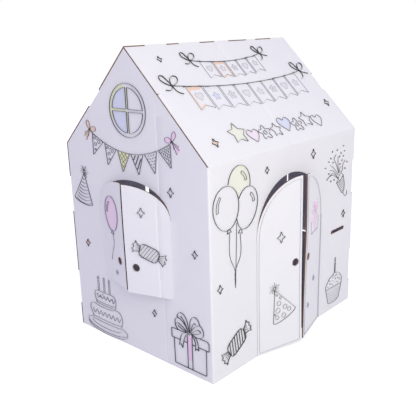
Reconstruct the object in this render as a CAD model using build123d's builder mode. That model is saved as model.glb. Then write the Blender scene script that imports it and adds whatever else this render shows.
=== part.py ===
from build123d import *

import math
import os

# Cardboard playhouse: two equal folded sheets of white corrugated board, each the other
# turned half a turn about the upright axis. Millimetres, +Z up, the origin on the floor
# under the middle of the house. The front sheet's door wall faces -Y and its window
# gable faces -X. Every door leaf, shutter and flap is part of its sheet.

# The house, outside the board
house_length = 900.0
house_width = 730.0
eave_height = 763.0
ridge_height = 1122.0

# The board, its folds and its cuts
board = 5.0
fold_inner = 2.0
fit_gap = 0.3
slit = 1.0
crease_width = 6.0
crease_depth = 1.0

# Double door in the side wall, both leaves pushed a little open
door_width = 416.0
door_spring_height = 452.0
left_leaf_angle = 15.7
right_leaf_angle = 18.0
door_hole_height = 333.0
door_hole_inset = 31.0

# Shuttered window in the gable, both shutters a little open
window_width = 376.0
window_sill_height = 265.0
window_spring_height = 554.0
window_arch_rise = 111.0
far_shutter_angle = 15.3
near_shutter_angle = 18.0
window_hole_height = 365.0
window_hole_inset = 42.0

# Finger holes and letter slot
finger_hole_diameter = 28.0
letter_slot_length = 100.0
letter_slot_width = 14.0
letter_slot_height = 352.0
letter_slot_from_corner = 115.0

# Crease that folds the gable for packing, from the corner fold
gable_crease_from_corner = 228.0

# Flaps tucked behind a gable: along the upright corner, and along the sloping edges
flap_depth = 60.0
corner_flap_starts = (93.0, 487.0)
corner_flap_length = 144.0
verge_flap_start = 212.0
verge_flap_length = 89.0

# Fingers of the ridge joint, from either end, before the two middle ones
finger_widths = (94.0, 104.0, 60.0, 110.0)

half_length = house_length / 2
half_width = house_width / 2
roof_rise = ridge_height - eave_height
roof_angle = math.degrees(math.atan2(roof_rise, half_width))
slope_length = math.hypot(roof_rise, half_width)
fold_outer = fold_inner + board
eave_turn = 90 - roof_angle
eave_tangent = fold_outer * math.tan(math.radians(eave_turn / 2))
wall_top = eave_height - eave_tangent
flap_face = half_length - board - fit_gap
flap_bend = flap_face - fold_outer
gable_end = half_width - board - fit_gap
door_half = door_width / 2
window_half = window_width / 2
window_top = window_spring_height + window_arch_rise
crease_y = gable_crease_from_corner - half_width

upward = Vector(0, 0, 1)
along_wall = Vector(1, 0, 0)
up_slope = Vector(0, math.cos(math.radians(roof_angle)), math.sin(math.radians(roof_angle)))
eave_corner = Vector(0, -half_width, eave_height)
wall_plane = Plane.XZ.offset(half_width)
gable_plane = Plane.YZ.offset(-half_length)
slope_plane = Plane(origin=eave_corner, x_dir=along_wall, z_dir=along_wall.cross(up_slope))


def under_roof(y):
    """Height of a gable's raw top edge, just under the slopes."""
    drop = (board + fit_gap) / math.cos(math.radians(roof_angle))
    return ridge_height - abs(y) * roof_rise / half_width - drop


def finger_ends():
    """Places of the ridge fingers' ends along the slope, from its left verge."""
    near = [sum(finger_widths[:count]) for count in range(len(finger_widths) + 1)]
    places = near + [half_length] + [house_length - place for place in reversed(near)]
    return [place - half_length for place in places]


def slope_section_plane(up):
    """Plane across the roof slope, a distance up it, with y inwards from its face."""
    return Plane(origin=eave_corner + up_slope * up, x_dir=along_wall, z_dir=up_slope)


def wall_section_plane(height):
    """Level plane across the side wall, with y inwards from its face."""
    return Plane(origin=(0, -half_width, height), x_dir=along_wall, z_dir=upward)


def arch_outline(half, sill, spring, rise):
    """An arched opening: straight jambs up to the spring line, then an arch."""
    with BuildSketch() as outline:
        with Locations((0, spring)):
            Ellipse(half, rise)
        with Locations((0, spring)):
            Rectangle(2 * half, rise, align=(Align.CENTER, Align.MIN), mode=Mode.INTERSECT)
        with Locations((0, sill)):
            Rectangle(2 * half, spring - sill, align=(Align.CENTER, Align.MIN))
    return outline.sketch_local


def leaf_outline(half, sill, spring, rise, hole_inset, hole_height):
    """Half of an arched opening, from its hinge at x = 0, less the slit round it."""
    with BuildSketch() as outline:
        with Locations((half, 0)):
            add(arch_outline(half - slit, sill, spring, rise - slit))
        with Locations((0, sill)):
            Rectangle(half, spring - sill, align=Align.MIN)
        with Locations((0, sill)):
            Rectangle(half - slit / 2, spring + rise - sill, align=Align.MIN, mode=Mode.INTERSECT)
        with Locations((half - hole_inset, hole_height)):
            Circle(finger_hole_diameter / 2, mode=Mode.SUBTRACT)
    return outline.sketch_local


def leaf_plane(hinge, along):
    """Plane of an opened leaf's outer face, with x from its hinge to its free edge."""
    return Plane(origin=hinge, x_dir=along, z_dir=along.cross(upward))


def fold_section(centre, start, sweep):
    """Cut through a soft fold: the board turned about a small inner radius."""
    with BuildSketch() as section:
        with BuildLine():
            outer = CenterArc(centre, fold_outer, start, sweep)
            inner = CenterArc(centre, fold_inner, start, sweep)
            Line(outer @ 0, inner @ 0)
            Line(outer @ 1, inner @ 1)
        make_face()
    return section.sketch_local


def hinge_section(centre, start, sweep):
    """Cut through a leaf's crease: the board opened about a line on its outer face."""
    with BuildSketch() as section:
        with BuildLine():
            back = CenterArc(centre, board, start, sweep)
            Line(centre, back @ 0)
            Line(centre, back @ 1)
        make_face()
    return section.sketch_local


def flap_section(side):
    """Cut through a tucked flap: a quarter fold, then the flap standing inwards."""
    with BuildSketch() as section:
        add(fold_section((side * flap_bend, fold_outer), 225 + side * 45, 90))
        with Locations((side * (flap_face - board / 2), fold_outer)):
            Rectangle(board, flap_depth - fold_outer, align=(Align.CENTER, Align.MIN))
    return section.sketch_local


def crease_section():
    """Cut through a packing crease: a shallow pressed groove."""
    with BuildSketch() as section:
        with BuildLine():
            Polyline((-crease_width / 2, 0), (0, crease_depth), (crease_width / 2, 0), close=True)
        make_face()
    return section.sketch_local


left_turn = math.radians(left_leaf_angle)
right_turn = math.radians(right_leaf_angle)
far_turn = math.radians(far_shutter_angle)
near_turn = math.radians(near_shutter_angle)
left_leaf_plane = leaf_plane(
    (-door_half, -half_width, 0), Vector(math.cos(left_turn), -math.sin(left_turn), 0)
)
right_leaf_plane = leaf_plane(
    (door_half, -half_width, 0), Vector(-math.cos(right_turn), -math.sin(right_turn), 0)
)
near_shutter_plane = leaf_plane(
    (-half_length, -window_half, 0), Vector(-math.sin(near_turn), math.cos(near_turn), 0)
)
far_shutter_plane = leaf_plane(
    (-half_length, window_half, 0), Vector(-math.sin(far_turn), -math.cos(far_turn), 0)
)
ends = finger_ends()
ridge_notch = board + fit_gap
rear_fingers = list(zip(ends[0::2], ends[1::2]))

with BuildPart() as front_sheet:
    # Side wall, with the doorway, the letter slot and the tabs of its free corner
    with BuildSketch(wall_plane):
        with Locations((half_length, 0)):
            Rectangle(house_length - fold_outer, wall_top, align=(Align.MAX, Align.MIN))
        add(arch_outline(door_half, 0, door_spring_height, door_half), mode=Mode.SUBTRACT)
        with Locations((half_length - letter_slot_from_corner, letter_slot_height)):
            SlotOverall(letter_slot_length, letter_slot_width, mode=Mode.SUBTRACT)
        with Locations(*[(flap_bend, start) for start in corner_flap_starts]):
            Rectangle(
                half_length - flap_bend, corner_flap_length, align=Align.MIN, mode=Mode.SUBTRACT
            )
    extrude(amount=-board)

    # Soft fold at the eave
    with BuildSketch(gable_plane):
        add(fold_section((fold_outer - half_width, wall_top), 180, -eave_turn))
    extrude(amount=house_length)

    # Roof slope, with the tabs of its two verges and its ridge fingers
    with BuildSketch(slope_plane):
        with Locations((0, eave_tangent)):
            Rectangle(
                house_length, slope_length - eave_tangent, align=(Align.CENTER, Align.MIN)
            )
        for start, end in rear_fingers:
            with Locations((start - fit_gap, slope_length)):
                Rectangle(
                    end - start + 2 * fit_gap,
                    ridge_notch,
                    align=(Align.MIN, Align.MAX),
                    mode=Mode.SUBTRACT,
                )
        with Locations((flap_bend, verge_flap_start)):
            Rectangle(
                half_length - flap_bend, verge_flap_length, align=Align.MIN, mode=Mode.SUBTRACT
            )
        with Locations((-flap_bend, verge_flap_start)):
            Rectangle(
                half_length - flap_bend,
                verge_flap_length,
                align=(Align.MAX, Align.MIN),
                mode=Mode.SUBTRACT,
            )
    extrude(amount=-board)

    # Soft fold at the corner between the side wall and the gable
    with BuildSketch():
        corner = (fold_outer - half_length, fold_outer - half_width)
        add(fold_section(corner, 180, 90))
    extrude(amount=wall_top)

    # Gable, with the window and its raw sloping edges under the roof
    with BuildSketch(gable_plane):
        with BuildLine():
            Polyline(
                (fold_outer - half_width, 0),
                (gable_end, 0),
                (gable_end, under_roof(gable_end)),
                (0, under_roof(0)),
                (fold_outer - half_width, under_roof(fold_outer - half_width)),
                close=True,
            )
        make_face()
        fillet(vertices().group_by(Axis.X)[-1].sort_by(Axis.Y)[-1], fold_inner)
        window = (window_half, window_sill_height, window_spring_height, window_arch_rise)
        add(arch_outline(*window), mode=Mode.SUBTRACT)
    extrude(amount=board)

    # Flaps along the free corner and along both verges
    for start in corner_flap_starts:
        with BuildSketch(wall_section_plane(start + slit / 2)):
            add(flap_section(1))
        extrude(amount=corner_flap_length - slit)
    with BuildSketch(slope_section_plane(verge_flap_start + slit / 2)):
        add(flap_section(1))
        add(flap_section(-1))
    extrude(amount=verge_flap_length - slit)

    # Door leaves and the creases that they turn on
    door = (door_half, 0, door_spring_height, door_half, door_hole_inset, door_hole_height)
    with BuildSketch(left_leaf_plane):
        add(leaf_outline(*door))
    extrude(amount=-board)
    with BuildSketch(right_leaf_plane):
        add(leaf_outline(*door))
    extrude(amount=board)
    with BuildSketch():
        add(hinge_section((-door_half, -half_width), 90, -left_leaf_angle))
        add(hinge_section((door_half, -half_width), 90, right_leaf_angle))
    extrude(amount=door_spring_height)

    # Shutters and the creases that they turn on
    shutter = window + (window_hole_inset, window_hole_height)
    with BuildSketch(near_shutter_plane):
        add(leaf_outline(*shutter))
    extrude(amount=board)
    with BuildSketch(far_shutter_plane):
        add(leaf_outline(*shutter))
    extrude(amount=-board)
    with BuildSketch(Plane.XY.offset(window_sill_height)):
        add(hinge_section((-half_length, -window_half), 0, near_shutter_angle))
        add(hinge_section((-half_length, window_half), 0, -far_shutter_angle))
    extrude(amount=window_spring_height - window_sill_height)

    # Packing creases: up the side wall over the door, up the roof, and up the gable
    with BuildSketch(wall_section_plane(door_spring_height)):
        add(crease_section())
    extrude(amount=wall_top - door_spring_height, mode=Mode.SUBTRACT)
    with BuildSketch(slope_section_plane(eave_tangent)):
        add(crease_section())
    extrude(amount=slope_length - eave_tangent, mode=Mode.SUBTRACT)
    with BuildSketch(Plane(origin=(-half_length, crease_y, 0), x_dir=(0, -1, 0), z_dir=upward)):
        add(crease_section())
    extrude(amount=under_roof(abs(crease_y) + crease_width / 2), mode=Mode.SUBTRACT)
    shutter_crease = near_shutter_plane.origin + near_shutter_plane.x_dir * (crease_y + window_half)
    with BuildSketch(
        Plane(origin=shutter_crease, x_dir=-near_shutter_plane.x_dir, z_dir=upward)
    ):
        add(crease_section())
    extrude(amount=window_top, mode=Mode.SUBTRACT)

with BuildPart() as back_sheet:
    add(front_sheet.part, rotation=(0, 0, 180))

front_sheet.part.label = "front_sheet"
back_sheet.part.label = "back_sheet"

os.makedirs("parts", exist_ok=True)
export_step(front_sheet.part, "parts/front_sheet.step")
export_step(back_sheet.part, "parts/back_sheet.step")
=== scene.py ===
import math

import bmesh
import bpy
from bpy.props import FloatProperty, FloatVectorProperty, PointerProperty
from bpy.types import Operator, Panel, PropertyGroup
from mathutils import Matrix, Vector
from mathutils.bvhtree import BVHTree


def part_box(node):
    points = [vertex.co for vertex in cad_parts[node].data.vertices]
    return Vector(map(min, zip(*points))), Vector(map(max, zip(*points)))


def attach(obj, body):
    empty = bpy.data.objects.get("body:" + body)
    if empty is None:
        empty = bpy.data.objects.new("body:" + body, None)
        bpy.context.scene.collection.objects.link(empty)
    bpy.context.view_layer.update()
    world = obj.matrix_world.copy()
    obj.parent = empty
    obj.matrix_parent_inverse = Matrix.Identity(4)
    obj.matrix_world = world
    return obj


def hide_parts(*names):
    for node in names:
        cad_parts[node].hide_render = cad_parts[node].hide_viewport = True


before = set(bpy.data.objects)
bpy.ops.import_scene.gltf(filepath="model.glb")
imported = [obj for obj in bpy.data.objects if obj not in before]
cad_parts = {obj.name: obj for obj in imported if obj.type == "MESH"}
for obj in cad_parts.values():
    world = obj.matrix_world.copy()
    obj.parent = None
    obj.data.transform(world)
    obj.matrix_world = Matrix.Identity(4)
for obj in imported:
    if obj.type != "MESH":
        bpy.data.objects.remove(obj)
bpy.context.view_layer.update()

bl_info = {
    "name": "Cardboard playhouse",
    "version": (1, 0, 0),
    "blender": (4, 5, 0),
    "location": "3D View > Sidebar > Playhouse",
    "description": "Finishes a folded cardboard playhouse: board, raw edges, printed drawings and stage",
    "category": "Object",
}

MM = 0.001
SHEETS = {"front": 0.0, "back": math.pi}
FRONT_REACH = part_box("front_sheet")[1]
NARROW_FLUTE, WIDE_FLUTE = 0.0033, 0.0066
CROSS_GAPS = {"lime": 13, "checks": 9}
BOW_TAILS = (
    ([(-6, -10), (-20, -17), (-36, -13)], [(3, -18), (11, -29), (25, -36)]),
    ([(0, -20), (-8, -32), (-22, -38)], [(10, -8), (22, -12), (41, -18)]),
)


# Settings

def length(name, about, default):
    return FloatProperty(name=name, description=about, default=default, unit="LENGTH")


def angle(name, about, degrees):
    turn = math.radians(degrees)
    return FloatProperty(name=name, description=about, default=turn, subtype="ANGLE")


def colour(name, about, default):
    return FloatVectorProperty(name=name, description=about, default=default, subtype="COLOR")


class PlayhouseSizes(PropertyGroup):
    """Sizes of the folded house, as its sheets have them."""

    half_length: length("Half length", "From the middle to a gable's face", FRONT_REACH.x)
    half_width: length("Half width", "From the middle to a side wall's face", 0.365)
    eave_height: length("Eave height", "Height where wall and roof would meet unfolded", 0.763)
    ridge_height: length("Ridge height", "Height of the roof's top", FRONT_REACH.z)
    board: length("Board", "Thickness of the board", 0.005)
    door_half: length("Door half", "Half the doorway's width", 0.208)
    door_spring: length("Door spring", "Height where the door's arch begins", 0.452)
    window_half: length("Window half", "Half the window's width", 0.188)
    left_leaf: angle("Left leaf", "Opening of the left door leaf", 15.7)
    right_leaf: angle("Right leaf", "Opening of the right door leaf", 18.0)
    left_foot: angle("Left foot", "How much nearer shut the left leaf's foot is than its top", -2.2)
    right_foot: angle("Right foot", "How much nearer shut the right leaf's foot is than its top", 1.5)
    foot_lift: length("Foot lift", "How far a door leaf's free corner clears the floor", 0.007)
    far_shutter: angle("Far shutter", "Opening of the shutter farther from the door", 15.3)
    near_shutter: angle("Near shutter", "Opening of the shutter nearer the door", 18.0)
    warp: length("Warp", "How far the board bows", 0.0016)
    grid: length("Grid", "Spacing of the cuts that let it bow", 0.05)


class PlayhousePrint(PropertyGroup):
    """Weight of the printed lines."""

    line_width: length("Line width", "Width of an outline", 0.0063)
    line_depth: length("Line depth", "Thickness of a printed line", 0.0004)
    corner: length("Corner", "Radius of a line's corners", 0.0012)
    field_lift: length("Field lift", "Height of a coloured field above the board", 0.0001)


class PlayhouseColours(PropertyGroup):
    """Colours of the board and the print."""

    board_white: colour("Board", "White coated face", (0.868, 0.86, 0.908))
    kraft: colour("Kraft", "Brown raw edge", (0.33, 0.19, 0.13))
    # Painted shade: the dark colour given to the hollow gaps between the flutes on a raw edge
    painted_flute_shade: colour("Flute gap", "Shade inside the flutes", (0.07, 0.04, 0.035))
    ink: colour("Ink", "Printed lines", (0.03, 0.03, 0.05))
    grey: colour("Grey", "Pale printed lines", (0.38, 0.38, 0.45))
    pink: colour("Pink", "Pink field", (0.94, 0.63, 0.88))
    lime: colour("Lime", "Yellow green field", (0.84, 0.86, 0.46))
    blue: colour("Blue", "Pale blue field", (0.62, 0.67, 0.90))
    peach: colour("Peach", "Peach field", (0.88, 0.60, 0.46))


def sizes():
    return bpy.context.scene.playhouse_sizes


def colours():
    return bpy.context.scene.playhouse_colours


def linked(name, data):
    """A new object of the scene."""
    piece = bpy.data.objects.new(name, data)
    bpy.context.scene.collection.objects.link(piece)
    return piece


# Board shape

def held_foot(point):
    """Twists a door leaf: its foot turns a little on the crease and its free corner lifts."""
    s = sizes()
    x, y, z = point
    sheet = 1 if y < 0 else -1
    x, y = sheet * x, sheet * y
    wall_inside = 1.2 * s.board - s.half_width
    if z > s.door_spring or abs(x) > s.door_half or y > wall_inside:
        return point
    way = -1 if x < 0 else 1
    low = 1 - z / s.door_spring
    turn = -way * (s.left_foot if x < 0 else s.right_foot) * low
    over, out = x - way * s.door_half, y + s.half_width
    z += s.foot_lift * low * min(1, abs(over) / s.door_half)
    x = way * s.door_half + over * math.cos(turn) - out * math.sin(turn)
    y = over * math.sin(turn) + out * math.cos(turn) - s.half_width
    return Vector((sheet * x, sheet * y, z))


def bowed(point):
    """A point of the flat house, moved with the slight bow of the real board."""
    # Long uneven waves, in radians for each metre, and each with its own start
    far = sizes().warp
    x, y, z = held_foot(point)
    over_length = math.sin(7.1 * x + 5.2 * z + 0.6) * math.sin(4.4 * z + 0.5)
    over_width = math.sin(8.3 * y - 3.9 * z + 1.9) * math.sin(5.1 * z + 0.3)
    return Vector((x + far * over_width, y + far * over_length, z))


def side(origin, right, up=(0, 0, 1)):
    """Matrix of a flat side seen from outside: right, up and out of its face."""
    right, up = Vector(right).normalized(), Vector(up).normalized()
    out = right.cross(up)
    turn = Matrix((right, up, out)).transposed().to_4x4()
    return Matrix.Translation(Vector(origin)) @ turn


def sides():
    """The printed sides of the front sheet, each by name."""
    s = sizes()
    slope = (0, s.half_width, s.ridge_height - s.eave_height)
    wall_y, gable_x = -s.half_width, -s.half_length
    left, right = s.left_leaf, s.right_leaf
    far, near = s.far_shutter, s.near_shutter
    return {
        "wall": side((0, wall_y, 0), (1, 0, 0)),
        "roof": side((0, wall_y, s.eave_height), (1, 0, 0), slope),
        "gable": side((gable_x, 0, 0), (0, -1, 0)),
        "left_leaf": side((-s.door_half, wall_y, 0), (math.cos(left), -math.sin(left), 0)),
        "right_leaf": side((s.door_half, wall_y, 0), (math.cos(right), math.sin(right), 0)),
        "far_shutter": side((gable_x, s.window_half, 0), (-math.sin(far), -math.cos(far), 0)),
        "near_shutter": side((gable_x, -s.window_half, 0), (math.sin(near), -math.cos(near), 0)),
    }


def which_side(point, places):
    """Name of the side whose board holds the point."""
    s = sizes()
    misses = {}
    for name, matrix in places.items():
        local = matrix.inverted() @ point
        way = -1 if name in ("right_leaf", "near_shutter") else 1
        outside = {
            "wall": not -s.half_length < local.x < s.half_length or local.y > s.eave_height,
            "gable": abs(local.x) > s.half_width,
            "roof": local.y < 0,
        }.get(name, not 0 < way * local.x < s.door_half)
        if not outside:
            misses[name] = abs(local.z + s.board / 2)
    return min(misses, key=misses.get)


def cut_on_grid(bm, low, high, grid):
    """Cuts the mesh at even steps along each axis."""
    for axis in range(3):
        normal = [int(axis == other) for other in range(3)]
        for step in range(1, int((high[axis] - low[axis]) / grid) + 1):
            bmesh.ops.bisect_plane(
                bm,
                geom=bm.verts[:] + bm.edges[:] + bm.faces[:],
                dist=1e-6,
                plane_co=[(low[axis] + step * grid) * along for along in normal],
                plane_no=normal,
            )


def board_mesh(node):
    """The sheet's own shape, cut fine enough to bow, with raw edges told from faces."""
    thinnest, thickest, least_step, sharp = 0.6, 1.15, 1e-5, math.radians(14)
    s = sizes()
    turn = Matrix.Rotation(SHEETS[node.split("_")[0]], 4, "Z")
    places = {key: turn @ matrix for key, matrix in sides().items()}
    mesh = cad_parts[node].data.copy()
    mesh.materials.clear()
    bm = bmesh.new()
    bm.from_mesh(mesh)
    bmesh.ops.remove_doubles(bm, verts=bm.verts, dist=least_step)
    cut_on_grid(bm, *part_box(node), s.grid)
    across = bm.loops.layers.uv.new("flutes")
    bm.normal_update()
    tree = BVHTree.FromBMesh(bm)
    for face in bm.faces:
        centre = face.calc_center_median()
        thick = tree.ray_cast(centre - face.normal * least_step, -face.normal)[3]
        raw = thick is None or not thinnest * s.board < thick < thickest * s.board
        face.material_index = 1 if raw else 0
        back = places[which_side(centre, places)].inverted()
        for loop in face.loops:
            spot = back @ loop.vert.co
            loop[across].uv = (spot.x, -spot.z) if raw else (spot.x, spot.y)
        face.smooth = True
    for vert in bm.verts:
        vert.co = bowed(vert.co)
    bm.to_mesh(mesh)
    bm.free()
    mesh.set_sharp_from_angle(angle=sharp)
    return mesh


# Node helpers

def new_material(name):
    """A named material with its node tree and its Principled shader."""
    material = bpy.data.materials.new(name)
    material.use_nodes = True
    shader = next(n for n in material.node_tree.nodes if n.type == "BSDF_PRINCIPLED")
    return material, material.node_tree, shader


def feed(tree, node, key, value):
    """Links a socket to a node's input, or sets the input to a plain value."""
    if isinstance(value, bpy.types.NodeSocket):
        tree.links.new(value, node.inputs[key])
    else:
        node.inputs[key].default_value = value


def add_node(tree, kind, inputs=None, **settings):
    """Adds a node, sets its properties and feeds its inputs."""
    node = tree.nodes.new(kind)
    for key, value in settings.items():
        setattr(node, key, value)
    for key, value in (inputs or {}).items():
        feed(tree, node, key, value)
    return node


def math_node(tree, operation, *values):
    inputs = dict(enumerate(values))
    return add_node(tree, "ShaderNodeMath", inputs, operation=operation).outputs[0]


def mix_colour(tree, share, first, second):
    """Colour between two others, where each may be a colour or a socket."""
    node = add_node(tree, "ShaderNodeMix", {0: share}, data_type="RGBA")
    for key, value in ((6, first), (7, second)):
        feed(tree, node, key, (*value, 1) if isinstance(value, tuple) else value)
    return node.outputs[2]


def noise(tree, place, scale, detail=3.0):
    values = {"Vector": place, "Scale": scale, "Detail": detail}
    return add_node(tree, "ShaderNodeTexNoise", values).outputs["Fac"]


def between(first, second, share):
    """Colour at a share of the way from the first to the second."""
    return tuple(a + (b - a) * share for a, b in zip(first, second))


# Materials

def surface(tree, shader, shade, rough, gloss):
    """Feeds a shader's colour, roughness and gloss."""
    values = {"Base Color": shade, "Roughness": rough, "Specular IOR Level": gloss}
    for key, value in values.items():
        feed(tree, shader, key, value)


def add_bump(tree, shader, height, strength, distance):
    values = {"Height": height, "Strength": strength, "Distance": distance}
    bump = add_node(tree, "ShaderNodeBump", values)
    tree.links.new(bump.outputs[0], shader.inputs["Normal"])


def flute_place(tree):
    """Place along and across the flutes, from the mesh's own map."""
    flutes = add_node(tree, "ShaderNodeUVMap", uv_map="flutes").outputs["UV"]
    return add_node(tree, "ShaderNodeSeparateXYZ", {0: flutes}).outputs


def object_place(tree):
    return add_node(tree, "ShaderNodeTexCoord").outputs["Object"]


def coated_board():
    """White coated face of the board, with the flutes just showing through."""
    material, tree, shader = new_material("coated_board")
    white = tuple(colours().board_white)
    place = object_place(tree)
    along = flute_place(tree)["X"]
    ribs = math_node(tree, "SINE", math_node(tree, "MULTIPLY", along, 2 * math.pi / WIDE_FLUTE))
    mottle = noise(tree, place, 9.0)
    fibres = noise(tree, place, 900.0, 4.0)
    shade = mix_colour(tree, mottle, tuple(0.965 * value for value in white), white)
    speck = math_node(tree, "GREATER_THAN", noise(tree, place, 420.0, 1.0), 0.74)
    speck = math_node(tree, "MULTIPLY", speck, 0.05)
    shade = mix_colour(tree, speck, shade, tuple(0.75 * value for value in white))
    rough = math_node(tree, "MULTIPLY_ADD", mottle, 0.12, 0.46)
    surface(tree, shader, shade, rough, 0.35)
    height = math_node(tree, "MULTIPLY_ADD", ribs, 0.5, math_node(tree, "MULTIPLY", fibres, 0.6))
    add_bump(tree, shader, height, 0.12, 0.0003)
    return material


def raw_edge():
    """Cut edge of the board: brown papers with two rows of flutes between them, and painted shade in the
    gaps between the flutes.
    """
    material, tree, shader = new_material("raw_board_edge")
    brown = tuple(colours().kraft)
    place = object_place(tree)
    spot = flute_place(tree)
    depth = math_node(tree, "DIVIDE", spot["Y"], sizes().board)

    def band(middle, half):
        off = math_node(tree, "ABSOLUTE", math_node(tree, "SUBTRACT", depth, middle))
        return math_node(tree, "LESS_THAN", off, half)

    def flute(pitch, middle, swing):
        turn = math_node(tree, "MULTIPLY", spot["X"], 2 * math.pi / pitch)
        line = math_node(tree, "MULTIPLY_ADD", math_node(tree, "SINE", turn), swing, middle)
        return band(line, 0.065)

    flutes = flute(NARROW_FLUTE, 0.21, 0.11), flute(WIDE_FLUTE, 0.64, 0.22)
    solid = math_node(tree, "MAXIMUM", *flutes)
    for middle, half in ((0.035, 0.05), (0.37, 0.035), (0.955, 0.06)):
        solid = math_node(tree, "MAXIMUM", solid, band(middle, half))
    pale = tuple(min(1.0, 1.5 * value) for value in brown)
    paper = mix_colour(tree, noise(tree, place, 300.0), brown, pale)
    # Painted shade: where there is no paper, the edge takes the dark colour of shade in the hollow flute
    # gaps
    shade = mix_colour(tree, solid, tuple(colours().painted_flute_shade), paper)
    coat = math_node(tree, "LESS_THAN", depth, 0.03)
    shade = mix_colour(tree, coat, shade, tuple(colours().board_white))
    surface(tree, shader, shade, 0.9, 0.2)
    add_bump(tree, shader, solid, 0.5, 0.0008)
    return material


def printed(name, tint, weak):
    """Printed ink or tint, a little uneven as it lies on the board."""
    material, tree, shader = new_material(name)
    streak = {"Vector": object_place(tree), "Rotation": (0.6, 0.5, 0.3), "Scale": (40.0, 260.0, 60.0)}
    streak = add_node(tree, "ShaderNodeMapping", streak).outputs[0]
    thin = between(colours().board_white, tint, weak)
    shade = mix_colour(tree, noise(tree, streak, 1.6), tuple(tint), thin)
    surface(tree, shader, shade, 0.55, 0.3)
    return material


# Drawing on a flat side, in millimetres right and up

def arc(x, y, rx, ry=None, start=0.0, sweep=360.0, steps=24):
    """Points of an arc about (x, y), from start degrees."""
    ry = rx if ry is None else ry
    closed = abs(sweep) >= 360
    count = steps if closed else steps + 1
    points = []
    for step in range(count):
        turn = math.radians(start + sweep * step / steps)
        points.append((x + rx * math.cos(turn), y + ry * math.sin(turn)))
    return points


def through(points, closed=False, steps=6):
    """A smooth line through the points."""
    count = len(points)
    result = []
    for span in range(count if closed else count - 1):
        places = [span + shift for shift in (-1, 0, 1, 2)]
        if not closed:
            places = [max(0, min(count - 1, place)) for place in places]
        four = [points[place % count] for place in places]
        for step in range(steps):
            t = step / steps
            spot = []
            for a, b, c, d in zip(*four):
                bend, twist = 2 * a - 5 * b + 4 * c - d, 3 * b - a - 3 * c + d
                spot.append(0.5 * (2 * b + (c - a) * t + bend * t * t + twist * t * t * t))
            result.append(tuple(spot))
    if not closed:
        result.append(tuple(points[-1]))
    return result


def clipped(start, end, outline):
    """The part of a straight line inside a convex outline, or nothing."""
    low, high = 0.0, 1.0
    edges = list(zip(outline, outline[1:] + outline[:1]))
    way = 1 if sum(a[0] * b[1] - b[0] * a[1] for a, b in edges) > 0 else -1
    dx, dy = end[0] - start[0], end[1] - start[1]
    for a, b in edges:
        nx, ny = way * (a[1] - b[1]), way * (b[0] - a[0])
        off = nx * (start[0] - a[0]) + ny * (start[1] - a[1])
        rate = nx * dx + ny * dy
        if abs(rate) < 1e-9:
            if off < 0:
                return None
            continue
        if rate > 0:
            low = max(low, -off / rate)
        else:
            high = min(high, -off / rate)
    if high - low < 1e-3:
        return None
    return [(start[0] + dx * share, start[1] + dy * share) for share in (low, high)]


class Drawing:
    """The lines and coloured fields of one side."""

    def __init__(self):
        self.lines = {}
        self.fields = {}


class Pen:
    """Draws motifs about its own place, turn and size on a drawing."""

    def __init__(self, drawing, x=0.0, y=0.0, turn=0.0, size=1.0, ink="ink"):
        self.drawing = drawing
        self.x, self.y, self.size, self.ink = x, y, size, ink
        self.cos, self.sin = math.cos(math.radians(turn)), math.sin(math.radians(turn))
        self.turn = turn

    def at(self, x, y, turn=0.0, size=1.0, ink=None):
        """A pen at a place of this one."""
        (px, py), = self.place([(x, y)])
        return Pen(self.drawing, px, py, self.turn + turn, self.size * size, ink or self.ink)

    def place(self, points):
        return [
            (
                self.x + self.size * (self.cos * x - self.sin * y),
                self.y + self.size * (self.sin * x + self.cos * y),
            )
            for x, y in points
        ]

    def line(self, points, weight=1.0, closed=False, ink=None):
        rows = self.drawing.lines.setdefault(ink or self.ink, [])
        rows.append((self.place(points), weight, closed))

    def curve(self, points, weight=1.0, closed=False, ink=None):
        """A smooth line through the points."""
        self.line(through(points, closed), weight, closed, ink)

    def ring(self, x, y, radius, weight, steps):
        self.line(arc(x, y, radius, steps=steps), weight, True)

    def field(self, points, tint):
        if tint:
            self.drawing.fields.setdefault(tint, []).append(self.place(points))

    def shape(self, points, tint, weight):
        """A closed outline, with a field in it where there is a tint."""
        self.field(points, tint)
        self.line(points, weight, True)

    def hatch(self, outline, lean, gap, weight=0.6):
        """Parallel lines at an angle across a convex outline."""
        cos, sin = math.cos(math.radians(lean)), math.sin(math.radians(lean))
        offs = [-sin * x + cos * y for x, y in outline]
        reach = max(math.hypot(x, y) for x, y in outline) * 2
        off = min(offs) + gap / 2
        while off < max(offs):
            x, y = -sin * off, cos * off
            start, end = [(x + way * cos * reach, y + way * sin * reach) for way in (-1, 1)]
            found = clipped(start, end, outline)
            if found:
                self.line(found, weight)
            off += gap


# Motifs

def sparkle(pen, width, tint=None):
    """A small four-pointed star."""
    tall, wide, waist = 0.56 * width, 0.46 * width, 0.15 * width
    points = [
        (0, tall), (waist, waist), (wide, 0), (waist, -waist),
        (0, -tall), (-waist, -waist), (-wide, 0), (-waist, waist),
    ]
    pen.shape(points, tint, 1.2)


def sparkles(pen, rows):
    """Small stars, each by its place, its width and any tint."""
    for x, y, *look in rows:
        sparkle(pen.at(x, y), *look)


def scatter(pen, places, spin, mark, weight=1.0, closed=False):
    """A small mark at every place, each turned on by so many degrees from the last."""
    for index, (x, y) in enumerate(places):
        pen.at(x, y, spin * index).line(mark, weight, closed)


def star(pen, radius, tint, weight):
    """A plump five-pointed star."""
    points = []
    for step in range(10):
        reach = radius if step % 2 == 0 else radius * 0.52
        turn = math.radians(90 + 36 * step)
        points.append((reach * math.cos(turn), reach * math.sin(turn)))
    pen.shape(points, tint, weight)


def heart(pen, radius, tint, weight):
    r = radius
    points = through(
        [(0, -r), (-0.75 * r, -0.2 * r), (-0.95 * r, 0.4 * r), (-0.5 * r, 0.8 * r), (0, 0.42 * r)]
    )
    points += [(-x, y) for x, y in reversed(points[1:-1])]
    pen.shape(points, tint, weight)


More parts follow.
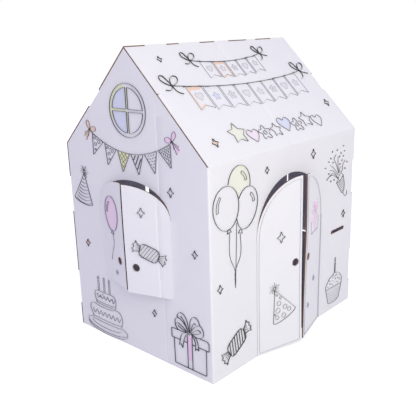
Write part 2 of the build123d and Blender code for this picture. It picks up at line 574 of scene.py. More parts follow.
def flower(pen, radius, tint, weight):
    """Five round petals about a ring."""
    points = []
    for step in range(60):
        turn = math.radians(6 * step)
        reach = radius * (0.78 + 0.22 * math.cos(5 * turn))
        points.append((reach * math.sin(turn), reach * math.cos(turn)))
    pen.shape(points, tint, weight)
    pen.ring(0, 0, radius * 0.27, weight, 14)


def glint(pen, outer, inner, start, sweep, steps, weight):
    """A thin closed highlight between two arcs, each given by its two radii."""
    points = arc(0, 0, *outer, start, sweep, steps)
    points += arc(0, 0, *inner, start + sweep, -sweep, steps)
    pen.line(points, weight, True)


def balloon(pen, rx, ry, tint=None, hidden_by=(), shine=True, knot=True):
    """A balloon, less what other balloons in front of it hide."""
    outline = []
    for step in range(90):
        turn = math.radians(4 * step)
        lean = 1 + 0.07 * math.sin(turn)
        outline.append((rx * lean * math.cos(turn), ry * math.sin(turn)))

    def seen(point):
        (x, y), = pen.place([point])
        return all(((x - mx) / a) ** 2 + ((y - my) / b) ** 2 > 1 for mx, my, a, b in hidden_by)

    def pulled(point):
        share = 1.0
        while share > 0.1 and not seen((point[0] * share, point[1] * share)):
            share -= 0.04
        return point[0] * share, point[1] * share

    pen.field([pulled(point) for point in outline], tint)
    shown = [seen(point) for point in outline]
    if all(shown):
        pen.line(outline, 1.15, True)
    else:
        start = next(i for i in range(len(shown)) if shown[i] and not shown[i - 1])
        turned = outline[start:] + outline[:start]
        visible = shown[start:] + shown[:start]
        pen.line(turned[:visible.index(False)], 1.15)
    if shine:
        glint(pen, (rx * 0.76, ry * 0.76), (rx * 0.6, ry * 0.66), 118, 62, 8, 0.8)
    if knot:
        balloon_knot(pen.at(0, -ry))


def balloon_knot(pen):
    pen.line([(-4, 2), (-12, -13), (0, -9), (12, -13), (4, 2)], 1.0, True)


def candy(pen, half_length=40, radius=27, wing=34, stripes=7):
    """A wrapped sweet: a striped barrel between two pleated fans."""
    top = [(-1.05, 0.4), (-0.92, 0.82), (-0.6, 1.0), (0.6, 1.0), (0.92, 0.82), (1.05, 0.4)]
    top = [(x * half_length, y * radius) for x, y in top]
    barrel = top + [(x, -y) for x, y in reversed(top)]
    pen.line(barrel, 1.35, True)
    pen.hatch(barrel, 68, 2.0 * half_length / stripes, 1.3)
    for way in (-1, 1):
        neck, tip = way * half_length, way * (half_length + wing)
        fan = [
            (neck, 9), (neck + way * wing * 0.5, 16), (tip - way * 6, 27), (tip - way * 9, 14), (tip, 8),
            (tip - way * 8, -2), (tip, -10), (tip - way * 9, -16), (tip - way * 5, -27),
            (neck + way * wing * 0.5, -16), (neck, -9),
        ]
        pen.line(fan, 1.25, True)
        for rise in (-9, 0, 9):
            pen.line([(neck + way * 3, rise * 0.4), (neck + way * wing * 0.6, rise)], 0.55)


def party_hat(pen, width, height, kind):
    """A cone hat with a pompom, striped or spotted."""
    outline = arc(0, 0, width / 2, width * 0.12, 180, 180, 10) + [(0, height)]
    pen.line(outline, 0.95, True)
    if kind == "stripes":
        for share in (0.09, 0.19, 0.29, 0.39, 0.49, 0.59, 0.7, 0.81):
            half = width / 2 * (1 - share)
            line = arc(0, height * share, half, half * 0.42, 190, 150, 8)
            pen.line([(x, y) for x, y in line if abs(x) < half * 0.97], 0.9)
    else:
        spots = (
            (-0.28, 0.1, 8), (-0.02, 0.03, 9), (0.26, 0.1, 8), (-0.16, 0.3, 10),
            (0.14, 0.27, 9), (-0.03, 0.5, 9), (0.09, 0.64, 5), (-0.32, 0.24, 4), (0.0, 0.8, 4),
        )
        for across, up, radius in spots:
            pen.ring(across * width, up * height, radius, 0.7, 14)
    pompom = pen.at(0, height + 6)
    for step in range(12):
        turn = math.radians(30 * step + 8)
        reach = 20 if step % 2 else 26
        pompom.line([(r * math.cos(turn), r * math.sin(turn)) for r in (5, reach)], 0.7)
    pompom.ring(0, 0, 5, 0.8, 10)


def string_bow(pen, size, tails):
    """A bow tied in the bunting's cord: a long loop, a round loop and two tails."""
    p = pen.at(0, 0, 0, size)
    for loop in (
        [(0, 0), (-5, 20), (-12, 40), (-26, 42), (-31, 26), (-18, 9)],
        [(0, 0), (4, 18), (15, 31), (30, 37), (41, 31), (37, 17), (22, 6)],
    ):
        p.curve(loop, 1.55, True)
    for tail in tails:
        p.curve([(0, 0)] + tail, 1.4)
    p.ring(0, 0, 3, 1.4, 8)


def ribbon_bow(pen, tint, way):
    """A soft bow of coloured ribbon. Its fringed tails hang to the left or right."""
    for loop in (
        [(0, 0), (14, 12), (19, 25), (11, 34), (3, 28), (-2, 13)],
        [(0, 0), (-13, 11), (-28, 12), (-34, 3), (-25, -6), (-10, -5)],
    ):
        pen.shape(through([(way * x, y) for x, y in loop], closed=True), tint, 0.7)
    fringe = [(way * x, y) for x, y in ((0, 0), (31, -12), (34, -25), (22, -40), (9, -24))]
    pen.field(fringe, tint)
    for x, y in fringe[1:]:
        pen.curve([(0, 0), (way * 2 + x * 0.5, y * 0.6), (x, y)], 0.75)
        pen.line([(x, y), (x * 0.86, y * 0.8 - 5)], 0.75)
    pen.ring(0, 0, 4, 1.3, 8)


def pennant(pen, width, height, kind):
    """A hanging triangle with a simple pattern. Its top middle is the pen's place."""
    outline = [(-width / 2, 0), (width / 2, 0), (0, -height)]
    inner = [(-width / 2 + 6, -3), (width / 2 - 6, -3), (0, -height + 11)]
    pen.shape(outline, "lime" if kind == "lime" else None, 0.95)
    if kind == "rings":
        for x, y, r in ((-16, -10, 5), (11, -12, 6.5), (-3, -28, 6), (3, -47, 4), (-1, -8, 2)):
            pen.ring(x, y, r, 0.75, 12)
    if kind in CROSS_GAPS:
        for lean in (45, -45):
            pen.hatch(inner, lean, CROSS_GAPS[kind], 0.6)
    if kind == "stripes":
        pen.hatch(inner, 58, 15, 0.75)
        pen.at(4, 0).hatch([(x - 4, y) for x, y in inner], 58, 15, 1.5)
    if kind == "confetti":
        for row in range(6):
            for column in range(-2, 3):
                x, y = column * 13 + (row % 2) * 6.5, -8 - row * 10
                if abs(x) < width / 2 * (1 + y / height) - 4:
                    tilt = 40 if (row + column) % 2 else -50
                    pen.at(x, y, tilt).line([(-3.5, 0), (3.5, 0)], 0.95)


def rim_tint(pen, outline, share, tint):
    """A coloured band inside an outline, as wide as a share of its reach."""
    middle_x = sum(x for x, y in outline) / len(outline)
    middle_y = sum(y for x, y in outline) / len(outline)
    inner = [
        (middle_x + (x - middle_x) * (1 - share), middle_y + (y - middle_y) * (1 - share))
        for x, y in outline
    ]
    for index in range(len(outline)):
        after = (index + 1) % len(outline)
        pen.field([outline[index], outline[after], inner[after], inner[index]], tint)


def swallowtail(pen, width, height, notch, tint, shape):
    """A hanging pennant with a notched end and a plain pale shape in it."""
    half = width / 2
    outline = [(-half, 0), (half, 0), (half, -height), (0, -height + notch), (-half, -height)]
    if tint:
        rim_tint(pen, outline, 0.26, tint)
    pen.line(outline, 0.62, True, "grey_dark")
    middle = pen.at(0, -(height - notch) * 0.52, ink="grey")
    shape(middle, width * 0.27, "blue" if tint == "blue_pale" else "shade", 0.45)


def sagging(left, right, low, steps=24):
    """A cord that sags between two points, down to a lowest height."""
    points = []
    mean = (left[1] + right[1]) / 2
    for step in range(steps + 1):
        t = step / steps
        x = left[0] + (right[0] - left[0]) * t
        level = left[1] + (right[1] - left[1]) * t
        points.append((x, level - (mean - low) * 4 * t * (1 - t)))
    return points


def round_window(pen, outer=92, inner=78, bar=9):
    """A drawn round window with four panes."""
    ring = arc(0, 0, outer, start=100, sweep=105) + arc(0, 0, inner, start=205, sweep=-105)
    pen.field(ring, "lime_light")
    half = bar / 2
    for foot, head in ((half, inner), (-inner, -half)):
        pen.field([(-half, foot), (half, foot), (half, head), (-half, head)], "lime_light")
    pen.field([(-inner, -half), (-half, -half), (-half, half), (-inner, half)], "lime_light")
    corner = math.degrees(math.asin(half / inner))
    for quarter in range(4):
        start = 90 * quarter + corner
        pane = arc(0, 0, inner, start=start, sweep=90 - 2 * corner, steps=12)
        turn = math.radians(90 * quarter + 45)
        pane.append((half * math.sqrt(2) * math.cos(turn), half * math.sqrt(2) * math.sin(turn)))
        if quarter in (1, 2):
            pen.field(pane, "blue_pane")
        pen.line(pane, 1.1, True)
    pen.line(arc(0, 0, outer, steps=48), 1.15, True)


def cake(pen):
    """A two-tier cake on a plate with three candles. The pen is at the plate's middle."""
    for drop in (0, -9):
        pen.line(arc(0, 25 + drop, 119, 30, start=180, sweep=180, steps=20), 1.05)
    for x in (-119, 119):
        pen.line([(x, 25), (x, 16)], 1.05)
    pen.curve([(-119, 25), (-114, 38), (-92, 39)], 0.95)
    pen.curve([(119, 25), (108, 34), (89, 40)], 0.95)
    pen.line(arc(-3, 30, 92, 19, start=180, sweep=168, steps=16), 0.95)
    for edge in (
        [(-86, 42), (-88, 52), (-93, 64), (-99, 76), (-100, 90), (-95, 101), (-80, 106), (-66, 106)],
        [(-66, 106), (-44, 101), (-8, 100), (30, 102), (58, 109)],
        [(58, 109), (78, 105), (90, 90), (95, 72), (90, 58), (87, 42)],
        [(-58, 112), (-62, 128), (-67, 148), (-63, 162), (-48, 168)],
        [(-48, 168), (-20, 166), (8, 166), (36, 167)],
        [(36, 167), (52, 162), (60, 148), (59, 130), (56, 112)],
    ):
        pen.curve(edge, 1.05)
    for half, bands, low, high, waves in ((88, (39, 51), 62, 82, 7), (57, (116, 125), 136, 152, 5)):
        for band in bands:
            pen.line(arc(0, band, half, 6, 180, 180, 10), 0.95)
        drip = []
        for step in range(waves * 8 + 1):
            t = step / (waves * 8)
            rise = (1 + math.cos(2 * math.pi * waves * t)) / 2
            drip.append((-half * 0.98 + 1.96 * half * t, low + (high - low) * rise))
        pen.line(drip, 0.95)
    for x, y in ((-50, 152), (-34, 144), (-18, 156), (-6, 142), (10, 152), (24, 140), (38, 150), (46, 136)):
        pen.ring(x, y, 2.2, 0.9, 6)
    for x in (-40, -6, 25):
        foot, top = 168, 212
        pen.line([(x - 4, foot), (x - 4, top), (x + 4, top), (x + 4, foot)], 0.6)
        for step in range(5):
            y = foot + 3 + 9 * step
            pen.line([(x - 5, y), (x + 5, y + 5)], 1.25)
        pen.curve([(x, top + 3), (x - 5, top + 8), (x, top + 19), (x + 5, top + 8)], 0.9, True)


def gift_bow(pen, weight):
    """The many-looped bow on a gift. The pen is at its knot."""
    for fold in (
        [(0, 2), (-9, 39), (-20, 59), (-34, 67), (-48, 64), (-57, 54), (-58, 45)],
        [(-58, 45), (-41, 41), (-21, 26), (-6, 4)],
        [(-40, 54), (-24, 38), (-10, 14)],
        [(-58, 45), (-68, 33), (-69, 16), (-62, 2), (-44, -4), (-12, 0)],
        [(-68, 15), (-56, 23), (-38, 18), (-12, 3)],
        [(-56, 14), (-38, 6), (-16, 1)],
        [(2, 2), (4, 43), (12, 61), (22, 69), (34, 69), (45, 60), (50, 46)],
        [(8, 12), (15, 34), (24, 46), (31, 43)],
        [(5, 5), (24, 30), (40, 42), (52, 45), (63, 35), (67, 21), (64, 8), (51, -2), (34, -5), (8, 0)],
        [(10, 2), (30, 20), (46, 26), (53, 20), (44, 12), (26, 5), (10, 0)],
        [(-10, 0), (-33, -10), (-44, -27), (-52, -61)],
        [(-35, -68), (-29, -37), (-19, -14), (-8, -4)],
        [(10, -4), (22, -15), (28, -34), (26, -58)],
        [(43, -53), (39, -26), (30, -9), (12, 0)],
    ):
        pen.curve(fold, weight)
    pen.line([(-52, -61), (-43, -54), (-35, -68)], weight)
    pen.line([(26, -58), (34, -47), (43, -53)], weight)
    pen.line(arc(0, 1, 9, 6, steps=12), weight, True)


def gift(pen):
    """A gift box with a lid and a coloured ribbon. The pen is at the bow's knot."""
    weight, half, over, strip = 1.25, 78, 89, 11.5
    lid, under, foot = -4, -40, -139
    pen.field([(-strip, -10), (strip, -10), (strip, foot * 0.78), (-strip, foot * 0.78)], "pink")
    for edge in (
        [(-half, under), (-half + 3, foot), (half - 1, foot), (half, under)],
        [(-strip, -9), (-strip, foot)],
        [(strip, -9), (strip, foot)],
        [(-54, lid), (-over, lid), (-over, under), (-46, under)],
        [(-31, under), (-strip, under)],
        [(strip, under), (27, under)],
        [(41, under), (over + 2, under), (over + 2, -12), (over - 5, lid), (42, lid)],
    ):
        pen.line(edge, weight)
    gift_bow(pen, weight)


def popper(pen):
    """A party popper with streamers and confetti. The pen is at its point."""
    pen.line([(-47, 54), (0, 0), (15, 10), (17, 36), (6, 77)], 0.8)
    pen.hatch([(-40, 50), (2, 4), (14, 12), (14, 40), (4, 70)], 25, 9, 0.55)
    for edge in (
        [(-47, 54), (-36, 60), (-28, 78), (-12, 87), (6, 77)],
        [(-47, 54), (-24, 55), (-8, 65), (6, 77)],
        [(8, 2), (24, -16), (36, -14), (39, 6)],
        [(-36, 88), (-56, 106), (-74, 122), (-97, 135)],
        [(-34, 84), (-60, 98), (-80, 112), (-99, 112)],
        [(-32, 92), (-52, 130), (-70, 158), (-54, 171)],
        [(-28, 90), (-38, 120), (-40, 160)],
        [(-12, 90), (-2, 104), (0, 122), (18, 137)],
        [(-20, 92), (-26, 108), (-14, 116)],
    ):
        pen.curve(edge, 0.8)
    for reach in (0, 7):
        pen.curve([(-30, 64), (-56, 82 + reach), (-80, 91 + reach), (-106, 88), (-123, 78)])
    spots = (
        (-1, 198), (-48, 188), (-84, 187), (-18, 172), (9, 176), (1, 157), (-29, 159), (-8, 140),
        (-94, 162), (-108, 150), (-76, 142), (-24, 127), (32, 127), (18, 102), (-132, 129),
        (-107, 102), (-90, 68), (-66, 70),
    )
    scatter(pen, spots, 37, [(-3.5, -2), (3.5, -2), (3.5, 2), (-3.5, 2)], 0.75, True)


def cupcake(pen):
    """A cupcake with sprinkles and one candle. The pen is at the cup's middle bottom."""
    pen.shape(through([(-41, 5), (-18, 0), (12, 0), (41, 9)]) + [(60, 70), (-61, 72)], "cup_grey", 0.8)
    for rise in (12, 24, 36, 48):
        wide = rise * 0.2
        pleat = [(-43 - wide, rise + 4), (0, rise - 2), (42 + wide, rise + 6)]
        pen.curve(pleat, 0.45, False, "grey")
    frosting = [
        (-61, 72), (-62, 88), (-48, 103), (-34, 118), (-10, 127), (4, 132), (32, 126), (52, 112),
        (62, 93), (60, 70),
    ]
    pen.curve(frosting, 0.8)
    pen.curve([(-10, 127), (8, 116), (26, 120)], 0.7)
    spots = (
        (-46, 82), (-30, 92), (-12, 84), (8, 90), (28, 84), (46, 92), (-32, 106), (-12, 102),
        (12, 104), (32, 102), (44, 110), (-8, 116),
    )
    scatter(pen, spots, 50, [(-3, 0), (3, 0)])
    for x in (1, 9):
        pen.line([(x, 133), (x, 178)], 0.5)
    for step in range(5):
        pen.line([(1, 136 + 9 * step), (9, 142 + 9 * step)], 0.95)
    pen.curve([(5, 181), (1, 188), (5, 203), (9, 188)], 0.65, True)


# Drawings of each side

def draw_gable(pen):
    """Round window, bunting, hat, cake, gift and stars on the gable."""
    round_window(pen.at(-2, 910))
    low, rise, reach = 761, 58, 209
    pen.line(sagging((-212, 822), (208, 821), low), 1.1)
    for index, kind in enumerate(("rings", "rings", "lime", "stripes", "confetti", "checks")):
        share = (-172 + 69 * index) / reach
        tilt = math.degrees(math.atan(2 * rise * share / reach))
        pennant(pen.at(reach * share, low + rise * share * share, tilt), 63, 72, kind)
    ribbon_bow(pen.at(-215, 827), "peach", -1)
    ribbon_bow(pen.at(209, 825), "pink", 1)
    party_hat(pen.at(-287, 545, -9), 108, 112, "stripes")
    sparkles(pen, ((194, 653, 35), (-282, 374, 32, "peach"), (297, 458, 31), (83, 182, 30)))
    cake(pen.at(-198, 14, ink="cake_ink"))
    gift(pen.at(259, 160))


def draw_wall(pen):
    """Balloons, candy, popper, cupcake, stars and the letter slot's rim on the side wall."""
    left, right = (-370, 609, 64, 76), (-263, 589, 55, 74)
    knots = ((-354, 522), (-299, 506))
    foot = (-327, 318)
    top = pen.at(-303, 672)
    balloon(top, 57, 70, "lime_pale", (left, right), shine=False, knot=False)
    glint(top, (43, 52), (33, 42), 18, 55, 6, 0.9)
    side_pen = pen.at(*right[:2], -17)
    balloon(side_pen, *right[2:], None, (left,), shine=False, knot=False)
    balloon_knot(pen.at(knots[1][0] + 3, knots[1][1] + 12, -17))
    glint(side_pen, (41, 55), (31, 45), 30, 50, 6, 0.9)
    balloon(pen.at(*left[:2], 9), *left[2:])
    for knot, bend in zip(knots, (-14, 16)):
        middle = ((knot[0] + foot[0]) / 2 + bend, (knot[1] + foot[1]) / 2 + 20)
        pen.curve([knot, middle, (foot[0], foot[1] + 60), foot], 0.85)
    pen.curve([(-318, 548), (-320, 470), (-324, 380), foot], 0.85)
    sparkles(pen, ((-408, 339, 34), (-150, 696, 28), (141, 705, 38), (377, 413, 34)))
    candy(pen.at(-325, 110, 31, 1.18))
    popper(pen.at(362, 503))
    cupcake(pen.at(322, 30))
    half, end = 43, 7.6
    rim = arc(half, 0, end, start=-90, sweep=180, steps=8)
    rim += arc(-half, 0, end, start=90, sweep=180, steps=8)
    pen.at(335, 352).line(rim, 0.6, True, "kraft")


def pennant_row(pen, ends, low, count, first, pitch, sizes_in_row, tints_in_row):
    """A cord with a bow at each end and pennants along it."""
    cord = sagging(*ends, low)
    *outline, bow = sizes_in_row
    pen.line(cord, 1.15)
    for end, tails in zip(ends, BOW_TAILS):
        string_bow(pen.at(*end), bow, tails)

    def on_cord(place):
        middle = first + pitch * place
        return pen.at(middle, min(cord, key=lambda point: abs(point[0] - middle))[1])

    for index in range(count + 1):
        on_cord(index - 0.5).line([(-7, 0), (0, -2), (7, 0)], 1.6)
    for index in range(count):
        shape = (heart, star, flower)[index % 3]
        swallowtail(on_cord(index), *outline, tints_in_row.get(index), shape)


def draw_roof(pen):
    """Two rows of swallowtail pennants, plain shapes and stars on the roof slope."""
    sparkles(pen, ((-337, 442, 28), (-355, 76, 36, "peach"), (388, 144, 36)))
    upper, lower = ((-201, 425), (205, 432)), ((-366, 324), (374, 322))
    pennant_row(pen, upper, 408, 5, -128, 66, (59, 78, 14, 0.9), {1: "peach"})
    tinted = {0: "peach", 1: "blue_pale"}
    pennant_row(pen, lower, 294, 8, -274, 80.5, (73, 102, 18, 1.1), tinted)
    for shape, x, y, radius, tint in (
        (star, -226, 92, 46, "lime_pale"), (heart, -156, 72, 31, "pink_pale"), (flower, -90, 72, 32, None),
        (star, -24, 72, 32, None), (heart, 44, 90, 36, "blue_pane"), (flower, 110, 74, 32, None),
        (star, 178, 88, 38, None), (heart, 244, 74, 31, None),
    ):
        shape(pen.at(x, y, -4, ink="grey_dark"), radius, tint, 1.15)


def leaf_lines(pen, way):
    """Crease and thin inner border of a door leaf. The way is 1 where the hinge is on the left."""
    half, spring = sizes().door_half / MM, sizes().door_spring / MM
    inset, foot = 11, 10
    reach = half - inset
    top = []
    for step in range(17):
        turn = math.radians(90 + 90 * step / 16)
        x = half + reach * math.cos(turn)
        if x < reach:
            top.append((x, spring + reach * math.sin(turn)))
    border = [(inset, foot), (reach, foot), (reach, top[0][1])] + top
    pen.line([(way * x, y) for x, y in border], 0.6, True, "grey")
    pen.line([(way * 1.5, 3), (way * 1.5, spring)], 0.5, False, "grey")


def finger_rim(pen, half, way, inset, height):
    """The brown rim of a finger hole's cut, near the free edge of a leaf or shutter."""
    radius = 14.8
    rim = pen.at(way * (half / MM - inset), height)
    rim.line(arc(0, 0, radius, steps=28), 0.6, True, "kraft")


def draw_left_leaf(pen):
    leaf_lines(pen, 1)
    party_hat(pen.at(126, 131, 21), 111, 122, "spots")
    sparkle(pen.at(109, 444), 42)
    finger_rim(pen, sizes().door_half, 1, 31, 333)


def draw_right_leaf(pen):
    leaf_lines(pen, -1)
    box = pen.at(-100, 492, 0, 0.62, "pink_line")
    gift_bow(box, 0.6)
    for way in (-1, 1):
        box.line([(way * 11, -20), (way * 9, -125)], 0.6)
    box.line([(-76, -128), (70, -128)], 0.7, False, "grey_dark")
    for x in (-80, 76):
        box.line([(x, -46), (x * 0.97, -124)], 0.5, False, "grey")
    sparkles(pen.at(0, 0, ink="grey"), ((-93, 214, 26), (-160, 123, 24)))
    finger_rim(pen, sizes().door_half, -1, 31, 333)


def draw_near_shutter(pen):
    candy(pen.at(-89, 426, -19, 0.95))
    sparkle(pen.at(-113, 571), 36)
    finger_rim(pen, sizes().window_half, -1, 42, 365)


def draw_far_shutter(pen):
    held = pen.at(100, 534, ink="grey_dark")
    balloon(held, 52, 66, "pink_light")
    held.curve([(0, -78), (6, -110), (-12, -150), (-26, -186)], 0.7)
    sparkle(pen.at(116, 311, ink="grey"), 22)
    finger_rim(pen, sizes().window_half, 1, 42, 365)


# Turning drawings into mesh

def node_tree(name, lengths, tint):
    """An empty Geometry Nodes tree that takes a mesh, some lengths and a material."""
    tree = bpy.data.node_groups.new(name, "GeometryNodeTree")
    kinds = {"Geometry": "Geometry", **dict.fromkeys(lengths, "Float"), tint: "Material"}
    for title, kind in kinds.items():
        tree.interface.new_socket(title, in_out="INPUT", socket_type="NodeSocket" + kind)
    tree.interface.new_socket("Geometry", in_out="OUTPUT", socket_type="NodeSocketGeometry")
    return tree, tree.nodes.new("NodeGroupInput").outputs, tree.nodes.new("NodeGroupOutput").inputs


def geometry(tree, kind, inputs, **settings):
    """First output of a new Geometry Nodes node."""
    return add_node(tree, "GeometryNode" + kind, inputs, **settings).outputs[0]


def pen_line_tree():
    """Sweeps a flat strip along every drawn line."""
    lengths = ("Line width", "Line depth", "Corner radius")
    tree, given, result = node_tree("pen_lines", lengths, "Ink")
    line = geometry(tree, "MeshToCurve", {"Mesh": given["Geometry"]})
    corners = {"Curve": line, "Count": 2, "Radius": given["Corner radius"], "Limit Radius": True}
    line = geometry(tree, "FilletCurve", corners, mode="POLY")
    line = geometry(tree, "SetCurveNormal", {"Curve": line}, mode="Z_UP")
    weight = geometry(tree, "InputNamedAttribute", {"Name": "weight"}, data_type="FLOAT")
    strip = {"Width": given["Line depth"], "Height": given["Line width"]}
    strip = geometry(tree, "CurvePrimitiveQuadrilateral", strip, mode="RECTANGLE")
    sweep = {"Curve": line, "Profile Curve": strip, "Scale": weight, "Fill Caps": True}
    swept = geometry(tree, "CurveToMesh", sweep)
    real = geometry(tree, "RealizeInstances", {"Geometry": swept})
    inked = geometry(tree, "SetMaterial", {"Geometry": real, "Material": given["Ink"]})
    tree.links.new(inked, result[0])
    return tree


def field_tree():
    """Fills every closed outline as a thin coloured field."""
    tree, given, result = node_tree("coloured_fields", ("Depth",), "Tint")
    outline = geometry(tree, "MeshToCurve", {"Mesh": given["Geometry"]})
    flat = geometry(tree, "FillCurve", {"Curve": outline}, mode="TRIANGLES")
    rise = {"Mesh": flat, "Offset Scale": given["Depth"], "Individual": False}
    tall = geometry(tree, "ExtrudeMesh", rise, mode="FACES")
    under = geometry(tree, "FlipFaces", {"Mesh": flat})
    both = add_node(tree, "GeometryNodeJoinGeometry")
    tree.links.new(tall, both.inputs[0])
    tree.links.new(under, both.inputs[0])
    merged = geometry(tree, "MergeByDistance", {"Geometry": both.outputs[0], "Distance": 1e-6})
    real = geometry(tree, "RealizeInstances", {"Geometry": merged})
    tinted = geometry(tree, "SetMaterial", {"Geometry": real, "Material": given["Tint"]})
    tree.links.new(tinted, result[0])
    return tree


def run_tree(tree, mesh, values):
    """The plain mesh that a Geometry Nodes tree makes of a mesh."""
    host = linked("host", mesh)
    modifier = host.modifiers.new("tree", "NODES")
    modifier.node_group = tree
    for item in tree.interface.items_tree:
        if item.in_out == "INPUT" and item.name in values:
            modifier[item.identifier] = values[item.name]
    graph = bpy.context.evaluated_depsgraph_get()
    result = bpy.data.meshes.new_from_object(host.evaluated_get(graph))
    bpy.data.objects.remove(host)
    bpy.data.meshes.remove(mesh)
    return result


def spaced(points, closed, longest):
    """The points, with more on long straight runs."""
    ends = points[1:] + points[:1] if closed else points[1:]
    result = []
    for start, end in zip(points, ends):
        parts = max(1, math.ceil(math.dist(start, end) / longest))
        for part in range(parts):
            t = part / parts
            result.append((start[0] + (end[0] - start[0]) * t, start[1] + (end[1] - start[1]) * t))
    if not closed:
        result.append(points[-1])
    return result


def loop_mesh(rows, lift, longest=28.0):
    """Loose edges along the drawn lines, with each line's weight."""
    verts, edges, weights = [], [], []
    for points, weight, closed in rows:
        points = spaced(points, closed, longest)
        first = len(verts)
        verts += [(x * MM, y * MM, lift) for x, y in points]
        weights += [weight] * len(points)
        edges += [(first + i, first + i + 1) for i in range(len(points) - 1)]
        if closed:
            edges.append((first + len(points) - 1, first))
    mesh = bpy.data.meshes.new("lines")
    mesh.from_pydata(verts, edges, [])
    layer = mesh.attributes.new("weight", "FLOAT", "POINT")
    layer.data.foreach_set("value", weights)
    return mesh


def joined(name, parts):
    """One mesh of several, each with its place and its material."""
    result = bpy.data.meshes.new(name)
    materials = []
    bm = bmesh.new()
    for mesh, matrix, material in parts:
        if material not in materials:
            materials.append(material)
            result.materials.append(material)
        mesh.transform(matrix)
        before = len(bm.faces)
        bm.from_mesh(mesh)
        bm.faces.ensure_lookup_table()
        for face in bm.faces[before:]:
            face.material_index = materials.index(material)
            face.smooth = False
        bpy.data.meshes.remove(mesh)
    for vert in bm.verts:
        vert.co = bowed(vert.co)
    bm.to_mesh(result)
    bm.free()
    return result


def tints():
    """The print's materials by the names that the drawings use."""
    c = colours()
    white = c.board_white
    table = {key: tuple(getattr(c, key)) for key in ("ink", "grey", "pink", "lime", "blue", "peach")}
    for key, first, second, share in (
        ("grey_dark", c.ink, c.grey, 0.5), ("cake_ink", c.ink, c.grey, 0.15),
        ("blue_pale", white, c.blue, 0.25), ("blue_pane", white, c.blue, 0.75),
        ("lime_pale", white, c.lime, 0.4), ("lime_light", white, c.lime, 0.8),
        ("pink_pale", white, c.pink, 0.4), ("pink_light", white, c.pink, 0.75),
        ("pink_line", c.pink, c.ink, 0.1), ("shade", white, c.grey, 0.3),
        ("cup_grey", white, c.grey, 0.33), ("kraft", c.kraft, white, 0.15),
    ):
        table[key] = between(first, second, share)
    made = {}
    for key, tint in table.items():
        weak = 0.9 if key.startswith(("ink", "grey")) else 0.55
        name = "print_" + key
        made[key] = bpy.data.materials.get(name) or printed(name, tint, weak)
    return made


def print_side(name, draw, place, line_tree, filled_tree):
    """Prints one side on both sheets."""
    style = bpy.context.scene.playhouse_print
    drawing = Drawing()
    draw(Pen(drawing))
    materials = tints()
    jobs = []
    for key, loops in drawing.fields.items():
        values = {"Depth": 2 * style.field_lift, "Tint": materials[key]}
        rows = [(points, 1.0, True) for points in loops]
        jobs.append((filled_tree, rows, -style.field_lift, values, materials[key]))
    for key, rows in drawing.lines.items():
        values = {
            "Line width": style.line_width, "Line depth": style.line_depth,
            "Corner radius": style.corner, "Ink": materials[key],
        }
        jobs.append((line_tree, rows, 0.0, values, materials[key]))
    for sheet, turn in SHEETS.items():
        matrix = Matrix.Rotation(turn, 4, "Z") @ place
        parts = [
            (run_tree(tree, loop_mesh(rows, lift), values), matrix, material)
            for tree, rows, lift, values, material in jobs
        ]
        piece = linked(f"{sheet}_{name}_print", joined(name, parts))
        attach(piece, "root")


# Operators

class PLAYHOUSE_OT_sheets(Operator):
    """Finish the two folded sheets"""

    bl_idname = "playhouse.sheets"
    bl_label = "Folded sheets"

    def execute(self, context):
        face, edge = coated_board(), raw_edge()
        for sheet in SHEETS:
            node = f"{sheet}_sheet"
            mesh = board_mesh(node)
            mesh.materials.append(face)
            mesh.materials.append(edge)
            piece = linked(f"{sheet}_board", mesh)
            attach(piece, "root")
            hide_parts(node)
        return {"FINISHED"}


class PLAYHOUSE_OT_print(Operator):
    """Print the drawings on every side"""

    bl_idname = "playhouse.print"
    bl_label = "Printed drawings"

    def execute(self, context):
        places = sides()
        trees = pen_line_tree(), field_tree()
        drawn = {
            "gable": draw_gable, "wall": draw_wall, "roof": draw_roof, "left_leaf": draw_left_leaf,
            "right_leaf": draw_right_leaf, "near_shutter": draw_near_shutter,
            "far_shutter": draw_far_shutter,
        }
        for name, draw in drawn.items():
            print_side(name, draw, places[name], *trees)
        return {"FINISHED"}


class PLAYHOUSE_OT_stage(Operator):
    """Set up the camera, lamps, floor and background"""

    bl_idname = "playhouse.stage"
    bl_label = "Stage"

    def execute(self, context):
        place_camera(context.scene)
        light_scene(context.scene)
        white_floor()
        context.scene.view_settings.view_transform = "Standard"
        return {"FINISHED"}


def place_camera(scene):
    """The photograph's camera, as fitted to the corners of the house."""
    spot = Vector((-1.8299, -1.6231, 1.1841))
    target = Vector((0.0, 0.05215, 0.44968))
    roll = math.radians(-1.486)
    focal_pixels, picture_pixels = 620.65, 416
    data = bpy.data.cameras.new("camera")
    data.sensor_width = 36.0
    data.lens = focal_pixels / picture_pixels * data.sensor_width
    forward = (target - spot).normalized()
    right = forward.cross(Vector((0, 0, 1))).normalized()
    up = right.cross(forward)
    level = right * math.cos(roll) + up * math.sin(roll)
    above = up * math.cos(roll) - right * math.sin(roll)
    turn = Matrix((level, above, -forward)).transposed().to_4x4()
    scene.camera = linked("camera", data)
    scene.camera.matrix_world = Matrix.Translation(spot) @ turn


def empty_tree(holder):
    """The node tree of a material or world, with no nodes."""
    holder.use_nodes = True
    holder.node_tree.nodes.clear()
    return holder.node_tree


def seen_rays(tree):
    """1 on rays from the camera or through gloss or glass, and 0 on rays that light the house."""
    path = add_node(tree, "ShaderNodeLightPath").outputs
    seen = math_node(tree, "MAXIMUM", path["Is Camera Ray"], path["Is Glossy Ray"])
    return math_node(tree, "MAXIMUM", seen, path["Is Transmission Ray"])


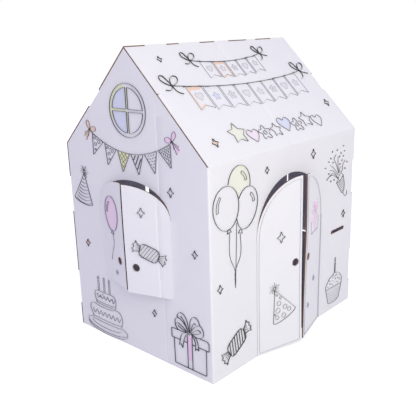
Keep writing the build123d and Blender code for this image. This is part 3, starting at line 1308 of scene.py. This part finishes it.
def light_scene(scene):
    """A broad lamp on the door's side, a softer one on the gable's, and an even sky."""
    aim = Vector((0, 0, 0.5))
    for name, place, (wide, tall), energy, tone in (
        ("key", (-1.3, -3.6, 2.4), (2.4, 1.8), 71, (0.97, 1.0, 0.74)),
        ("fill", (-3.6, -1.6, 1.0), (1.4, 1.4), 19, (0.95, 0.98, 1.0)),
    ):
        lamp = bpy.data.lights.new(name, "AREA")
        lamp.shape = "RECTANGLE"
        lamp.size, lamp.size_y = wide, tall
        lamp.energy, lamp.color = energy, tone
        stand = linked(name, lamp)
        stand.location = place
        stand.rotation_euler = (aim - Vector(place)).to_track_quat("-Z", "Y").to_euler()
    glow = bpy.data.lights.new("inner_glow", "POINT")
    glow.energy, glow.color = 0.24, (0.8, 0.72, 1.0)
    glow.shadow_soft_size = 0.12
    linked("inner_glow", glow).location = (0.1, 0.0, 0.75)

    seen_strength, lit_strength = 1.0, 0.8
    scene.world = bpy.data.worlds.new("sky")
    tree = empty_tree(scene.world)
    seen = seen_rays(tree)
    strength = math_node(tree, "MULTIPLY_ADD", seen, seen_strength - lit_strength, lit_strength)
    tone = mix_colour(tree, seen, (0.765, 0.73, 0.9), (1.0, 1.0, 1.0))
    sky = add_node(tree, "ShaderNodeBackground", {"Color": tone, "Strength": strength})
    output = add_node(tree, "ShaderNodeOutputWorld")
    tree.links.new(sky.outputs[0], output.inputs[0])


def white_floor():
    """A matt floor that glows white to the camera outside the house, and keeps its shadow."""
    half_size, drop, near_glow, glow_rise = 9.0, 0.0005, 0.64, 0.04
    bm = bmesh.new()
    bmesh.ops.create_grid(bm, x_segments=8, y_segments=8, size=half_size)
    mesh = bpy.data.meshes.new("floor")
    bm.to_mesh(mesh)
    bm.free()
    floor = linked("floor", mesh)
    floor.location.z = -drop
    material = bpy.data.materials.new("floor")
    tree = empty_tree(material)
    matt = add_node(tree, "ShaderNodeBsdfDiffuse", {"Color": (0.62, 0.62, 0.64, 1)})
    place = object_place(tree)
    spot = add_node(tree, "ShaderNodeSeparateXYZ", {0: place}).outputs
    under = [
        math_node(tree, "LESS_THAN", math_node(tree, "ABSOLUTE", spot[axis]), half)
        for axis, half in (("X", sizes().half_length), ("Y", sizes().half_width))
    ]
    outside = math_node(tree, "SUBTRACT", 1.0, math_node(tree, "MULTIPLY", *under))
    far = add_node(tree, "ShaderNodeVectorMath", {0: place}, operation="LENGTH").outputs["Value"]
    rise = math_node(tree, "MULTIPLY_ADD", far, glow_rise, near_glow)
    glow = math_node(tree, "MULTIPLY", math_node(tree, "MULTIPLY", seen_rays(tree), outside), rise)
    glow = add_node(tree, "ShaderNodeEmission", {"Color": (1, 1, 1, 1), "Strength": glow})
    total = add_node(tree, "ShaderNodeAddShader", {0: matt.outputs[0], 1: glow.outputs[0]})
    output = add_node(tree, "ShaderNodeOutputMaterial")
    tree.links.new(total.outputs[0], output.inputs[0])
    mesh.materials.append(material)


class PLAYHOUSE_PT_tools(Panel):
    """Lists the steps that finish the playhouse"""

    bl_label = "Playhouse"
    bl_idname = "PLAYHOUSE_PT_tools"
    bl_space_type = "VIEW_3D"
    bl_region_type = "UI"
    bl_category = "Playhouse"

    def draw(self, context):
        column = self.layout.column()
        for name in STEPS:
            column.operator(f"playhouse.{name}")
        for title in GROUPS:
            group = getattr(context.scene, title)
            for key in group.__annotations__:
                column.prop(group, key)


STEPS = ("stage", "sheets", "print")
GROUPS = {
    "playhouse_sizes": PlayhouseSizes,
    "playhouse_print": PlayhousePrint,
    "playhouse_colours": PlayhouseColours,
}
CLASSES = (
    *GROUPS.values(), PLAYHOUSE_OT_stage, PLAYHOUSE_OT_sheets, PLAYHOUSE_OT_print, PLAYHOUSE_PT_tools
)


def register():
    for item in CLASSES:
        bpy.utils.register_class(item)
    for title, group in GROUPS.items():
        setattr(bpy.types.Scene, title, PointerProperty(type=group))


def unregister():
    for title in GROUPS:
        delattr(bpy.types.Scene, title)
    for item in reversed(CLASSES):
        bpy.utils.unregister_class(item)


def main():
    """Makes every piece."""
    register()
    bpy.ops.playhouse.stage()
    bpy.ops.playhouse.sheets()
    bpy.ops.playhouse.print()


if __name__ == "__main__":
    main()
